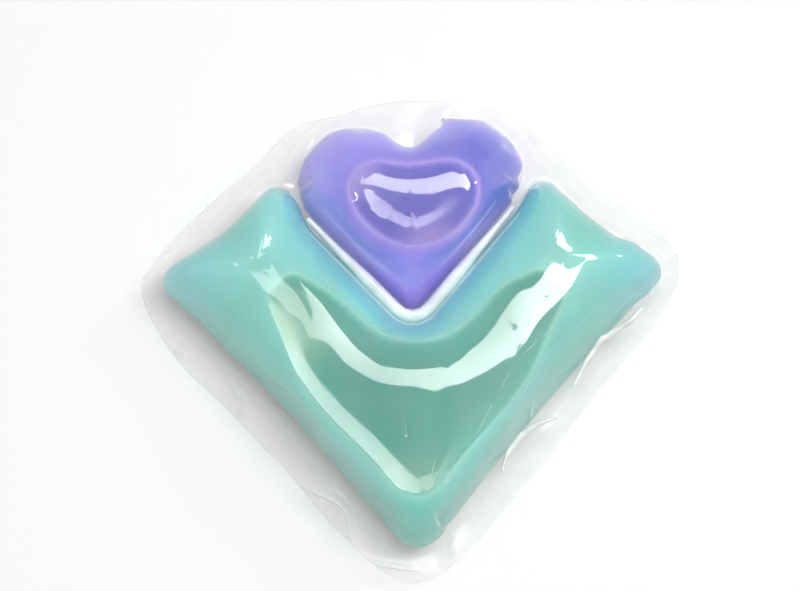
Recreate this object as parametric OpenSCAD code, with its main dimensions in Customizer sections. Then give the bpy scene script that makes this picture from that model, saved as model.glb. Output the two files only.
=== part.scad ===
// A two-chamber laundry capsule: a V of liquid with a heart of liquid in its notch,
// both sealed between a formed top film and a base film, with a loose film skirt around them.
// Millimetres, +Z up. It lies on its base film, with the V's tip towards -Y.

/* [Heart chamber] */
// Radius of each lobe of the heart
lobe_r = 5.1; // [4.6:0.1:5.4]
// Half the distance between the lobes' centres
lobe_x = 5.15; // [4.8:0.05:5.4]
// Length of the heart on its centre line, from its tip to the lobes' centres
heart_len = 12.4; // [11:0.1:13.5]
// Radius of the heart's tip
heart_tip_r = 1.3; // [0.8:0.1:2]
// Radius of the fillet between the lobes
cleft_r = 1.2; // [0.8:0.1:1.6]
// How far the heart leans: the slope of a line across its lobes, in degrees
heart_lean = 2.5; // [0:0.5:4]
// Height of the heart's dome above the seal
heart_h = 7; // [5:0.1:8.5]
// Distance from the heart's tip to the peak of its dome
heart_peak = 8.7; // [7.5:0.1:10]
// Half the width of the oval that the heart's dome turns into near its peak
peak_oval_x = 7.6; // [6.5:0.1:8.5]
// Half the length of the same oval
peak_oval_y = 5.8; // [5:0.1:6.5]
// Depth of the puckers in the heart's upper edge
pucker = 0.12; // [0:0.02:0.2]

/* [V chamber] */
// Length of the V on its centre line, from its notch to its tip
v_len = 20.4; // [18:0.1:23]
// Angle between an outer side of the V and the centre line
v_angle = 41.4; // [39:0.1:43]
// Length of an outer side of the V
v_side = 30.2; // [28:0.1:31.5]
// Radius of the V's tip
v_tip_r = 2.4; // [1.8:0.1:3]
// How far an outer side bows inwards
side_bow = 0.5; // [0:0.1:0.9]
// Radius of the ear at the outer corner of an arm
outer_ear_r = 1.8; // [1.4:0.05:2.1]
// How far the outer ear stands out from the side next to it
outer_ear_bulge = 0.3; // [0:0.05:0.6]
// How far the outer ear's centre lies past the end of that side
outer_ear_past = 0.6; // [0.2:0.1:1]
// Radius of the ear at the inner corner of an arm
inner_ear_r = 1.6; // [1.2:0.05:1.8]
// Width of an arm's end, from ear centre to ear centre
arm_end_w = 11.5; // [11:0.1:12]
// How far an arm's end is turned from square, in degrees
end_skew = -2; // [-4:0.5:4]
// How far an arm's end is hollowed between its ears
end_hollow = 0.9; // [0.2:0.1:1.4]
// Height of the V's dome above the seal, at its elbow
v_h = 8.8; // [7:0.1:10.5]
// Height of the V's dome above the seal, near an arm's end
arm_h = 6.4; // [5:0.1:8]
// Distance from the V's notch to its ridge, on the centre line
ridge_from_notch = 9.6; // [8.5:0.1:11]
// Radius of the ridge's bend at the elbow
ridge_bend_r = 5.5; // [4:0.1:7]
// Distance from an arm's end back to the end of the V's ridge
ridge_end_gap = 4.4; // [3.5:0.1:6]

/* [Seal and bubbles] */
// Width of the seal between the chambers, at the heart's tip
seal_tip_w = 1.5; // [1:0.1:1.8]
// Width of the same seal, beside the lobes
seal_top_w = 0.8; // [0.6:0.1:1]
// Depth of the base film's belly below the seal
belly = 3.3; // [2.4:0.1:4.2]
// Height of the air bubble over the V's liquid
v_bubble_h = 1.6; // [0.8:0.1:2]
// Height of the air bubble over the heart's liquid
heart_bubble_h = 1.1; // [0.6:0.1:1.8]

/* [Film] */
// Thickness of the formed top film
top_film_t = 0.1; // [0.08:0.01:0.16]
// Thickness of the base film
base_film_t = 0.1; // [0.08:0.01:0.16]
// Width of the skirt beside the V's outer sides
skirt_w = 3.3; // [2.4:0.1:4.2]
// Extra width of the skirt beyond the V's tip
tip_skirt_extra = 1.4; // [0.5:0.1:2]
// Width of the skirt beyond the arms' ends and the heart
skirt_back_w = 2.5; // [1.8:0.1:3.4]
// How far the skirt's edge hangs below the seal on the left
skirt_droop = 1.9; // [1:0.1:2.2]
// How far the skirt's edge curls above the seal on the right
skirt_curl = 1.5; // [0:0.1:2.4]
// Height of the waves in the skirt's edge
skirt_wave = 0.42; // [0:0.02:0.5]
// How far the skirt's edge waves in and out
skirt_scallop = 0.5; // [0:0.05:0.7]

/* [Hidden] */

// Height of the seal above the surface that the capsule lies on
seal_z = belly + base_film_t;
// Stations along the V's spine, and rungs that the seal goes on for beside the ears
STATIONS = 25;
ELBOW = (STATIONS - 1) / 2;
BEND_STATIONS = 4;
RUNGS = 3;
// Dome rings, from the seal up to the ridge: a ring's angle is 0 on the seal and 90 on the ridge.
// One ring of the top film follows the bubble's edge.
RINGS = 6;
BUBBLE_RING = 3;
MAX_BUBBLE_ANGLE = 76;
// The base film is flat on the surface from this ring inwards
FLAT_RING = 4;
SKIRT_RINGS = 4;

// Plain helpers
function unit(a) = [cos(a), sin(a)];
function blend(p, q, f) = p + (q - p) * f;
function polar(centre, r, a) = centre + r * unit(a);
function flipped(p) = [-p.x, p.y];
function reversed(list) = [for (i = [len(list) - 1:-1:0]) list[i]];
function flat(lists) = [for (l = lists) each l];
function mirrored_path(half) = concat([for (i = [len(half) - 1:-1:1]) flipped(half[i])], half);
function direction(p, q) = (q - p) / norm(q - p);

// Stations from the centre line outwards: along an arc that starts at -90 degrees, then a straight
function arc_then_straight(centre, r, to, straight) = [for (i = [0:ELBOW])
    i <= BEND_STATIONS
        ? polar(centre, r, -90 + (to + 90) * i / BEND_STATIONS)
        : polar(centre, r, to)
            + straight * (i - BEND_STATIONS) / (ELBOW - BEND_STATIONS) * unit(to + 90)];

// Heart outline: its tip is an arc, each side is the tangent from the tip's arc to a lobe
tip_centre = [0, heart_tip_r];
lobe_centre = [lobe_x, heart_len];
tip_to_lobe = lobe_centre - tip_centre;
side_normal = atan2(tip_to_lobe.y, tip_to_lobe.x)
    - acos((heart_tip_r - lobe_r) / norm(tip_to_lobe));
heart_side = sqrt(pow(norm(tip_to_lobe), 2) - pow(lobe_r - heart_tip_r, 2));
heart_half = arc_then_straight(tip_centre, heart_tip_r, side_normal, heart_side);
heart_lower = mirrored_path(heart_half);

// Upper edge: the lobes' arcs, with puckers, and the cleft's fillet between them
cleft_y = heart_len + sqrt(pow(lobe_r + cleft_r, 2) - pow(lobe_x, 2));
cleft_angle = atan2(cleft_y - heart_len, -lobe_x);
LOBE_STEPS = 14;
PUCKERS = 3.5;
function lobe_angle(i) = side_normal + (cleft_angle - side_normal) * i / LOBE_STEPS;
PUCKER_PHASE = 60;
function pucker_at(i) = let (f = i / LOBE_STEPS)
    pucker * sin(180 * f) * sin(360 * PUCKERS * f + PUCKER_PHASE);
right_lobe = [for (i = [1:LOBE_STEPS - 1]) polar(lobe_centre, lobe_r + pucker_at(i), lobe_angle(i))];
left_lobe = [for (p = reversed(right_lobe)) flipped(p)];
cleft = [for (a = [45, 0, -45]) polar([0, cleft_y], cleft_r, a - 90)];
function leaning(p) = [p.x, p.y + p.x * tan(heart_lean)];
heart_loop = [for (p = concat(heart_lower, right_lobe, cleft, left_lobe)) leaning(p)];
N_HEART = len(heart_loop);
heart_centre = [0, heart_peak];

// V outline, inner side: the heart's lower edge moved out by the seal's width
function seal_w(i) = blend(seal_tip_w, seal_top_w, abs(i - ELBOW) / ELBOW);
function lower_normal(i) =
    let (p = heart_lower[i], right = abs(p.x), bend_x = heart_tip_r * cos(side_normal),
         a = right < bend_x ? atan2(p.y - tip_centre.y, right) : side_normal)
    [sign(p.x) * cos(a), sin(a)];
v_inner = [for (i = [0:STATIONS - 1])
    heart_loop[i] + seal_w(i) * (i == ELBOW ? [0, -1] : lower_normal(i))];

// V outline, outer side: the tip's arc, then a side that bows inwards
v_tip_centre = [0, v_tip_r - seal_tip_w - v_len];
outer_normal = -v_angle;
v_outer_plain = arc_then_straight(v_tip_centre, v_tip_r, outer_normal, v_side);
function bow_at(i) = side_bow * sin(180 * max(0, i - BEND_STATIONS) / (ELBOW - BEND_STATIONS));
v_outer_half = [for (i = [0:ELBOW]) v_outer_plain[i] - bow_at(i) * unit(outer_normal)];

// V outline, arm end: an ear at each corner, and a hollow between them
arm = unit(90 - v_angle);
outer_ear = polar(v_tip_centre, v_tip_r - outer_ear_r + outer_ear_bulge, outer_normal)
    + (v_side + outer_ear_past) * arm;
inner_ear = outer_ear - arm_end_w * unit(outer_normal - end_skew);
across = direction(inner_ear, outer_ear);
end_normal = atan2(across.x, -across.y);
OUTER_EAR_TURNS = [-85, -50, -15, 20];
INNER_EAR_TURNS = [-25, 15, 60, 105];
END_SHARES = [0.36, 0.66];
outer_ear_arc = [for (a = OUTER_EAR_TURNS) polar(outer_ear, outer_ear_r, end_normal + a)];
inner_ear_arc = [for (a = INNER_EAR_TURNS) polar(inner_ear, inner_ear_r, end_normal + a)];
function end_point(f) = blend(outer_ear, inner_ear, f)
    + (blend(outer_ear_r, inner_ear_r, f) - end_hollow * sin(180 * f)) * unit(end_normal);
end_hollow_points = [for (f = END_SHARES) end_point(f)];
ear_shoulder = blend(v_inner[STATIONS - 1], inner_ear_arc[len(inner_ear_arc) - 1], 0.5);
right_end = reversed(concat(outer_ear_arc, end_hollow_points, inner_ear_arc, [ear_shoulder]));
left_end = [for (p = reversed(right_end)) flipped(p)];
END_POINTS = len(right_end);

v_outer = mirrored_path(v_outer_half);
v_loop = concat(v_inner, right_end, reversed(v_outer), left_end);
N_V = len(v_loop);

// The V's spine, halfway between its sides, and the dome's height along it
spine_end = blend(inner_ear, outer_ear, 0.5) - ridge_end_gap * unit(end_normal);
spine_centre = [0, ridge_bend_r - ridge_from_notch - seal_tip_w];
to_spine_end = spine_end - spine_centre;
spine_turn = atan2(to_spine_end.y, to_spine_end.x) - acos(ridge_bend_r / norm(to_spine_end));
spine_straight = sqrt(pow(norm(to_spine_end), 2) - pow(ridge_bend_r, 2));
spine = mirrored_path(arc_then_straight(spine_centre, ridge_bend_r, spine_turn, spine_straight));
RIDGE_FALL_POWER = 1.7;
function spine_h(j) = blend(v_h, arm_h, pow(abs(j - ELBOW) / ELBOW, RIDGE_FALL_POWER));

// The spine station that a point of the V's loop leans to
function station(i) =
    i < STATIONS ? i
    : i < STATIONS + END_POINTS ? STATIONS - 1
    : i < 2 * STATIONS + END_POINTS ? 2 * STATIONS + END_POINTS - 1 - i
    : 0;

// Outline of the film: straight edges whose corners are rounded off, given by angle and distance
outer_side_d = (v_tip_centre * unit(outer_normal)) + v_tip_r;
end_d = outer_ear * unit(end_normal) + outer_ear_r;
heart_top = heart_len + lobe_r;
plan_centre = [0, 0.5 * (heart_top - v_len)];
CORNER_POWER = 14;
function edge_d(d, a, w) = d - plan_centre * unit(a) + w;
film_edges = [
    [outer_normal, edge_d(outer_side_d, outer_normal, skirt_w)],
    [180 - outer_normal, edge_d(outer_side_d, outer_normal, skirt_w)],
    [end_normal, edge_d(end_d, end_normal, skirt_back_w)],
    [180 - end_normal, edge_d(end_d, end_normal, skirt_back_w)],
    [90, edge_d(heart_top, 90, skirt_back_w)],
    [0, outer_ear.x + outer_ear_r + skirt_w],
    [180, outer_ear.x + outer_ear_r + skirt_w],
    [-90, edge_d(v_len + seal_tip_w, -90, skirt_w + tip_skirt_extra)]
];
function sum(list) = list * [for (i = list) 1];
function film_r(a) = pow(sum([for (e = film_edges)
    pow(max(0, cos(a - e[0])) / e[1], CORNER_POWER)]), -1 / CORNER_POWER);
// A skirt that curls up reaches less far, by this share of its rise
CURL_LOSS = 0.4;
// Each ripple's share of the wave, its count around the skirt and its phase
RIPPLES = [[0.5, 6, 40], [0.35, 11, 200], [0.3, 15, 95]];
CURL_HEADING = -12;
RISE_SHIFT = 70;
CURL_POWER = 1.6;
function ripple(a) = sum([for (r = RIPPLES) r[0] * sin(r[1] * a + r[2])]);
function skirt_rise(a) =
    blend(-skirt_droop, skirt_curl, (1 + cos(a - CURL_HEADING)) / 2)
    + skirt_wave * ripple(a + RISE_SHIFT);

// Point numbers in a sheet: the V's rings and spine, the heart's rings and centre, the skirt's rings
V_POINTS = RINGS * N_V + STATIONS;
HEART_POINTS = RINGS * N_HEART + 1;
function v_id(k, i) =
    k < RINGS ? k * N_V + (i + N_V) % N_V : RINGS * N_V + station((i + N_V) % N_V);
function heart_id(k, i) =
    k < RINGS ? k * N_HEART + (i + N_HEART) % N_HEART : RINGS * N_HEART;

// The loop around both chambers: the V from one ear to the other, then over the heart
V_SHARE = N_V - STATIONS - 2 * RUNGS + 2;
HEART_SHARE = N_HEART - STATIONS - 2 * RUNGS + 2;
N_SKIRT = V_SHARE + HEART_SHARE;
function around_v(m) = STATIONS - 1 + RUNGS + m;
function around_heart(m) = N_HEART - RUNGS - (m - V_SHARE);
function around_id(m) =
    m < V_SHARE ? v_id(0, around_v(m)) : V_POINTS + heart_id(0, around_heart(m));
function around_point(m) =
    m < V_SHARE ? v_loop[around_v(m) % N_V] : heart_loop[around_heart(m) % N_HEART];
function skirt_id(k, m) =
    k == 0 ? around_id(m % N_SKIRT)
    : V_POINTS + HEART_POINTS + (k - 1) * N_SKIRT + m % N_SKIRT;

// Triangles: each four-sided patch is two, and a patch with two equal corners is one
function patch(a, b, c, d) = concat(
    a == b || b == c || a == c ? [] : [[a, b, c]],
    a == c || c == d || a == d ? [] : [[a, c, d]]);
v_faces = flat([for (k = [0:RINGS - 1], i = [0:N_V - 1])
    patch(v_id(k, i), v_id(k, i + 1), v_id(k + 1, i + 1), v_id(k + 1, i))]);
heart_faces = flat([for (k = [0:RINGS - 1], i = [0:N_HEART - 1])
    patch(heart_id(k, i + 1), heart_id(k, i), heart_id(k + 1, i), heart_id(k + 1, i + 1))]);
seal_faces = flat([for (i = [-RUNGS:STATIONS - 2 + RUNGS])
    patch(V_POINTS + heart_id(0, i), V_POINTS + heart_id(0, i + 1), v_id(0, i + 1), v_id(0, i))]);
skirt_faces = flat([for (k = [0:SKIRT_RINGS - 1], m = [0:N_SKIRT - 1])
    patch(skirt_id(k, m + 1), skirt_id(k, m), skirt_id(k + 1, m), skirt_id(k + 1, m + 1))]);
film_faces = concat(v_faces, [for (t = heart_faces) [for (i = t) i + V_POINTS]],
    seal_faces, skirt_faces);

// A dome's section is a quarter of a superellipse: its inset and its rise at a ring's angle
DOME_POWER = 2.6;
WALL_DRAFT = 0.12;
function ring_inset(a) =
    (1 - WALL_DRAFT) * (1 - pow(cos(a), 2 / DOME_POWER)) + WALL_DRAFT * a / 90;
function ring_rise(a) = pow(sin(a), 2 / DOME_POWER);
function bubble_angle(h, level) =
    level >= h ? MAX_BUBBLE_ANGLE : min(MAX_BUBBLE_ANGLE, asin(pow(level / h, DOME_POWER / 2)));
function top_angle(k, h, level) =
    let (edge = bubble_angle(h, level))
    k <= BUBBLE_RING ? edge * k / BUBBLE_RING
    : edge + (90 - edge) * (k - BUBBLE_RING) / (RINGS - BUBBLE_RING);
function base_angle(k) = 90 * k / RINGS;
function base_rise(a) = min(1, ring_rise(a) / ring_rise(base_angle(FLAT_RING)));

// One point of a dome: b on the seal, s on the ridge, h its height here, a the ring's angle.
// The film's outer side is moved by t, outwards and away from the seal's plane.
function dome_point(b, s, h, a, t, up) =
    let (p = blend(b, s, ring_inset(a)) + t * cos(a) * direction(s, b),
         lift = a == 0 ? 1 : up > 0 ? sin(a) : base_rise(a))
    [p.x, p.y, seal_z + up * (h + t * lift)];

// The heart's rings lose their cleft towards the ridge
function rounded_heart(p, f) =
    let (d = p - heart_centre, oval = [peak_oval_x * d.x, peak_oval_y * d.y] / norm(d))
    heart_centre + blend(d, oval, f);

v_level = v_h - v_bubble_h;
heart_level = heart_h - heart_bubble_h;
function v_top(t) = concat(
    [for (k = [0:RINGS - 1], i = [0:N_V - 1])
        let (j = station(i), h = spine_h(j), a = top_angle(k, h, v_level))
        dome_point(v_loop[i], spine[j], h * ring_rise(a), a, t, 1)],
    [for (j = [0:STATIONS - 1]) [spine[j].x, spine[j].y, seal_z + spine_h(j) + t]]);
function v_base(t) = concat(
    [for (k = [0:RINGS - 1], i = [0:N_V - 1])
        let (a = base_angle(k))
        dome_point(v_loop[i], spine[station(i)], belly * base_rise(a), a, t, -1)],
    [for (p = spine) [p.x, p.y, seal_z - belly - t]]);
function heart_ring(a, h, t, up) = [for (p = heart_loop)
    dome_point(rounded_heart(p, sin(a / 2)), heart_centre, h, a, t, up)];
function heart_top_side(t) = concat(
    flat([for (k = [0:RINGS - 1])
        let (a = top_angle(k, heart_h, heart_level))
        heart_ring(a, heart_h * ring_rise(a), t, 1)]),
    [[heart_centre.x, heart_centre.y, seal_z + heart_h + t]]);
function heart_base_side(t) = concat(
    flat([for (k = [0:RINGS - 1])
        let (a = base_angle(k))
        heart_ring(a, belly * base_rise(a), t, -1)]),
    [[heart_centre.x, heart_centre.y, seal_z - belly - t]]);

// The heading from the plan's centre to each point of that loop, clockwise, and its running mean
around_points = [for (m = [0:N_SKIRT - 1]) around_point(m)];
headings = [for (p = around_points) atan2(p.y - plan_centre.y, p.x)];
turned = [for (h = headings) (headings[0] - h + 360) % 360];
MEAN_REACH = 2;
function turned_at(m) = turned[(m + N_SKIRT) % N_SKIRT] + 360 * floor(m / N_SKIRT);
function edge_heading(m) =
    headings[0] - sum([for (i = [-MEAN_REACH:MEAN_REACH]) turned_at(m + i)]) / (2 * MEAN_REACH + 1);
function skirt_points(t, up) = [for (k = [1:SKIRT_RINGS], m = [0:N_SKIRT - 1])
    let (p = around_points[m], a = edge_heading(m), f = k / SKIRT_RINGS,
         reach = film_r(a) + skirt_scallop * ripple(a) - CURL_LOSS * max(0, skirt_rise(a)),
         edge = polar(plan_centre, reach, a),
         q = blend(p, edge, f))
    [q.x, q.y, seal_z + skirt_rise(a) * pow(f, CURL_POWER) + up * t]];

function top_sheet(t) = concat(v_top(t), heart_top_side(t), skirt_points(t, 1));
function base_sheet(t) = concat(v_base(t), heart_base_side(t), skirt_points(t, -1));

// The whole capsule's middle, which goes to the origin
edge_points = skirt_points(0, 1);
edge_x = [for (p = edge_points) p.x];
edge_y = [for (p = edge_points) p.y];
middle = [(max(edge_x) + min(edge_x)) / 2, (max(edge_y) + min(edge_y)) / 2, 0];

// A film: two copies of one sheet, joined along the skirt's edge
module film(upper, lower) {
    n = len(upper);
    rim = [for (m = [0:N_SKIRT - 1]) each patch(
        skirt_id(SKIRT_RINGS, m) + n, skirt_id(SKIRT_RINGS, m + 1) + n,
        skirt_id(SKIRT_RINGS, m + 1), skirt_id(SKIRT_RINGS, m))];
    translate(-middle)
        polyhedron(
            points = concat(upper, lower),
            faces = concat(film_faces, [for (t = film_faces) [t[2] + n, t[1] + n, t[0] + n]], rim));
}

// A chamber's liquid: its upper and lower skins share the loop on the seal, which comes first
module liquid(upper, lower, faces, loop) {
    n = len(upper);
    below = [for (i = [loop:n - 1]) lower[i]];
    translate(-middle)
        polyhedron(
            points = concat(upper, below),
            faces = concat(faces, [for (t = reversed(faces))
                [for (i = reversed(t)) i < loop ? i : i + n - loop]]));
}

// The liquid stops at the bubble's level
function levelled(points, level) = [for (p = points) [p.x, p.y, min(p.z, seal_z + level)]];

module top_film() {
    color([0.9, 0.95, 0.98], 0.4)
        film(top_sheet(top_film_t), top_sheet(0));
}

module base_film() {
    color([0.9, 0.93, 0.95], 0.4)
        film(base_sheet(0), base_sheet(base_film_t));
}

module teal_liquid() {
    color([0.45, 0.8, 0.73])
        liquid(levelled(v_top(0), v_level), v_base(0), v_faces, N_V);
}

module violet_liquid() {
    color([0.53, 0.48, 0.88])
        liquid(levelled(heart_top_side(0), heart_level), heart_base_side(0), heart_faces, N_HEART);
}

top_film();
base_film();
teal_liquid();
violet_liquid();
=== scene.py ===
"""A laundry detergent capsule: a teal V chamber and a violet heart chamber between two clear films."""
import math

import bmesh
import bpy
import numpy as np
from bpy.props import FloatProperty, FloatVectorProperty, PointerProperty
from mathutils import Matrix, Vector, kdtree, noise
from mathutils.bvhtree import BVHTree


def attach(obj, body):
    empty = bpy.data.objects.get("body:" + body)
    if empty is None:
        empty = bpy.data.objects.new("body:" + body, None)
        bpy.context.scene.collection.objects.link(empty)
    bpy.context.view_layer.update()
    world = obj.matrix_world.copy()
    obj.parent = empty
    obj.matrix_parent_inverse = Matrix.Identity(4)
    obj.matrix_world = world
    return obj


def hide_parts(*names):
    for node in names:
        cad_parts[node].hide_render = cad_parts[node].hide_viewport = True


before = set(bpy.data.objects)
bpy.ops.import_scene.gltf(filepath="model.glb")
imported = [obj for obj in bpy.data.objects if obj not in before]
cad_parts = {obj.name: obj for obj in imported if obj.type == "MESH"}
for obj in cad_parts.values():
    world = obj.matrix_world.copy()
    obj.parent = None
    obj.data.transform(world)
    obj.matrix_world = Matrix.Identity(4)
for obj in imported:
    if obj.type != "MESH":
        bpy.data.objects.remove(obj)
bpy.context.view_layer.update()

bl_info = {
    "name": "Laundry Capsule",
    "version": (1, 0, 0),
    "blender": (4, 5, 0),
    "location": "3D View > Sidebar > Capsule",
    "description": "Dresses a two-chamber laundry detergent capsule",
    "category": "Object",
}

MM = 0.001
BODY = "root"

# Height of the seal between the two films, and thickness of each film, in the CAD model
SEAL_Z = 3.4 * MM
CAD_FILM = 0.1 * MM
# A point this near to a level counts as on it
ON_LEVEL = 0.001 * MM
# A film's outer faces lean outwards by at least this share
OUTER_LEAN = 0.002
# Edges at a chamber's rim stay sharp, and the rest is rounded
RIM_CREASE = 1.0
# A film's rim lies this near to its liquid's
RIM_MATCH = 0.16 * MM
# The film is fully loose this far from the rims
LOOSE_FROM = 2 * MM
# Two triangles become a quad up to these angles in degrees: between the two, and off a square corner
QUAD_ANGLES = (70, 80)
SMOOTH_LEVELS = 2
# In each round of smoothing a point moves by this share of the way to the middle of its neighbours
SMOOTH_FACTOR = 0.5
# The domes are smoothed this many times, from the first height up and fully from the second, in mm
DOME_SMOOTH = 12
DOME_FROM = (4.3, 6.5)
# Above the seal, the V's and the heart's walls bulge this far towards each other, over this distance, in mm
SEAM_BULGE = (0.4, 0.85, 1.6)
# The seam itself closes by this share of that, and the rest is reached between these heights, in mm
SEAM_SHARE = 0.1
SEAM_FROM = (4.0, 5.5)
# The bulge is full up to the first distance from the further rim and ends at the last, in mm. It grows over
# the second distance to both sides of the seam's middle.
SEAM_WIDTH, SEAM_MIDDLE, SEAM_END = 1.5, 1.2, 4.0
# The heart's wall bulges less at its tip: the place in mm, the share that goes, and the spread in mm
TIP_CALM = ((0.22, 3.2), 0.5, 1.2)
# The direction across the seam is measured over this step, and a flatter slope than the least counts as that
SLOPE_STEP = 0.02 * MM
SLOPE_LEAST = 0.5
# The top of the heart's dome, in mm: middle, reach to each side and along, and height
HEART_CROWN = (0.6, 10.85, 6.05, 4.45, 10.4)
# The film's crown stands this far above the liquid's, in mm
CROWN_LIFT = 0.1
# How far the crown falls, plainly and steeply: at its sides, and at its ends, in mm
CROWN_FALL = ((0.45, 0.35), (0.73, 0.1))
# How much the crown rises in its two lobes
LOBE_RISE = 0.006
# The crown sinks towards the heart's cleft, in mm: how far, how far behind its middle that starts, over what
# length it grows, and how wide it is
CLEFT_SINK = (0.1, 1.8, 3.0, 2.2)
# The crown ends at this share of its reach, fades over this share inside that, and lies above this height, mm
CROWN_END = (1.45, 0.5, 5.5)
DOME_WARP = (
    (6.94, -1.86, 4.5, 1.1, -1.1),
    (-5.88, -2.21, 3.5, -0.65, -0.65),
    (11.95, 2.83, 3.0, 0.5, -0.5),
    (-6.77, -2.82, 3.0, -0.4, -0.4),
    (-9.77, 2.87, 2.0, 0.15, 0.15),
    (-8.2, -8.2, 4.5, -0.7, -0.5),
    (8.2, -8.6, 4.5, 0.45, -0.35),
)
# Soft rises and dents along the V's ridge, in mm: where, how wide, and how high
DOME_RISES = (
    (-16.09, 8.31, 2.8, -0.55),
    (-15.0, 4.0, 2.6, 0.07),
    (-13.5, 6.0, 3.0, -0.08),
    (-12.0, 5.0, 2.6, 0.1),
    (-12.5, -3.5, 3.0, 0.12),
    (-10.0, -3.0, 2.8, 0.1),
    (-7.0, -0.5, 2.6, 0.07),
    (0.3, -1.5, 2.5, 0.2),
    (7.0, -0.5, 2.6, -0.07),
    (9.0, -1.0, 2.4, 0.1),
    (9.5, 2.5, 2.6, 0.15),
    (12.0, 5.0, 2.6, 0.07),
    (15.0, 4.0, 2.6, 0.1),
    (18.0, 6.0, 2.5, 0.12),
    (16.68, 8.85, 3.4, -0.65),
)
# Shifts, rises and dents reach fully from the second height up, in mm
WARP_FROM = (7.0, 10.0)
# Small bumps and dents in the chambers' edges, in mm: where, how wide, and how far they push
EDGE_BUMPS = (
    (9.2, 17.4, 0.35, -0.3, -0.25),
    (10.3, 16.0, 0.9, 0.2, 0.0),
    (10.2, 14.75, 0.4, -0.2, 0.0),
    (10.0, 13.95, 0.4, 0.12, 0.0),
    (9.7, 13.1, 0.4, -0.25, 0.0),
    (9.45, 12.3, 0.3, 0.1, 0.0),
    (-9.85, 14.7, 0.3, -0.2, 0.0),
    (-9.5, 14.2, 0.25, 0.35, 0.0),
    (-9.3, 13.75, 0.25, -0.15, 0.0),
    (-9.05, 13.25, 0.25, 0.3, 0.0),
    (-9.1, 12.7, 0.3, -0.2, 0.0),
    (-4.4, 19.2, 0.4, 0.0, -0.22),
    (-2.3, 18.3, 0.6, 0.0, 0.15),
    (0.6, 17.3, 0.3, -0.1, -0.2),
    (2.3, -17.3, 0.4, -0.4, 0.15),
    (2.5, -18.4, 0.6, 0.25, 0.0),
    (18.5, 8.4, 0.6, -0.1, -0.2),
    (20.3, 7.8, 0.7, 0.15, 0.2),
    (21.6, 3.6, 0.6, 0.1, -0.2),
    (19.9, 2.9, 0.5, -0.2, 0.2),
    (13.6, 12.6, 0.5, -0.15, -0.1),
    (-19.2, 1.6, 0.8, 0.12, 0.12),
)
# The right lobe stands out with a sharp step, in mm: place, the step's width, reach across and along, height
LOBE_STEP = (3.35, 19.6, 0.15, 2.6, 0.9, 0.55)

# Lines of folds that have a rolled edge as well, in mm
FOLD_LOWER_LEFT = ((-11.6, -12.7), (-9.3, -14.0), (-7.0, -15.2), (-6.3, -16.0), (-6.0, -18.1), (-5.7, -20.2))
FOLD_BOTTOM = ((-5.7, -20.3), (-2.8, -21.0), (0.2, -21.5))
FOLD_LEFT = ((-16.6, -3.1), (-15.6, -5.0), (-15.9, -7.0))
# Folds in the skirt, in mm: height, width, milkiness, and the points of the fold's line
SKIRT_FOLDS = (
    (0.6, 0.5, 0.0, ((21.2, 1.9), (19.9, 0.7), (18.6, 0.1), (17.2, -0.9), (15.8, -2.7), (14.3, -5.0))),
    (0.6, 0.5, 0.0, ((13.0, -7.9), (11.0, -8.5), (9.6, -9.5), (8.4, -10.9), (7.7, -12.7))),
    (0.5, 0.5, 0.1, FOLD_LOWER_LEFT),
    (0.4, 0.5, 0.08, FOLD_BOTTOM),
    (0.3, 0.5, 0.1, ((2.4, -17.6), (3.0, -18.7), (3.3, -20.6))),
    (0.35, 0.45, 0.1, FOLD_LEFT),
    (0.3, 0.5, 0.1, ((-20.0, 0.9), (-21.0, -0.5), (-21.6, -1.6))),
    (0.3, 0.5, 0.1, ((-12.6, -9.0), (-13.6, -10.4), (-15.0, -11.0))),
)
# A fold gets lower towards its ends, down to the square root of this share
FOLD_END = 0.05
# Waves that run outwards in the skirt: their middle in mm, how close they lie, how fast they change outwards,
# and their strength
SKIRT_RAYS = ((0, -2), 8.3, 0.08, 1.1)
# Soft waves all over the skirt: how close they lie, the slice of the noise, and their strength
SKIRT_SWELL = (0.32, 4.0, 0.8)
# Each liquid's dish, in mm: depth at its top and low down, where along the chamber that starts and ends
# growing, and the distance from the rim over which it curves
DISHES = {"teal_liquid": (0.5, 0.62, -2.0, -12.0, 1.9), "violet_liquid": (0.95, 0.95, 12.0, 7.0, 1.0)}
# The open liquid is smoothed this many times
DISH_SMOOTH = 30
# The painted highlight line at the bubble's edge, where the meniscus meets the film, fades over this distance
BUBBLE_HIGHLIGHT_WIDTH = 0.28 * MM
# The liquid lies a little deeper around the heart's tip: the place, depth and spread in mm
TIP_CLEARANCE = ((0.22, 3.8), 0.12, 1.5)
# That depth grows between these heights in mm, and where its share is less than the least it ends
TIP_FROM = (4.2, 5.5)
TIP_LEAST = 0.02
# A liquid's dome lies against the film, fully so above the second height in mm, with this much more room
FIT_FROM = (3.9, 4.7)
FIT_GAP = 0.03 * MM
# A liquid's walls are smoothed this many times, fully between the second height and the last, in mm
WALL_SMOOTH = 3
WALL_FROM, WALL_TO = (4.0, 4.8), 9.0
# Faces of a liquid that meet at more than this angle in degrees keep a sharp edge
SHARP_ANGLE = 25


class FilmSettings(bpy.types.PropertyGroup):
    """The clear film above and below the liquids"""

    wall: FloatProperty(
        name="Film thickness", default=0.06 * MM, unit="LENGTH",
        description="Thickness of each film")
    haze: FloatProperty(
        name="Haze", default=0.02, subtype="FACTOR",
        description="Share of milky scatter in the film")
    wrinkle: FloatProperty(
        name="Wrinkle height", default=0.3 * MM, unit="LENGTH",
        description="Height of the wrinkles in the loose skirt")
    tint: FloatVectorProperty(
        name="Film tint", default=(0.996, 0.997, 0.996), subtype="COLOR",
        description="Colour that one face of the film lets through")


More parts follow.
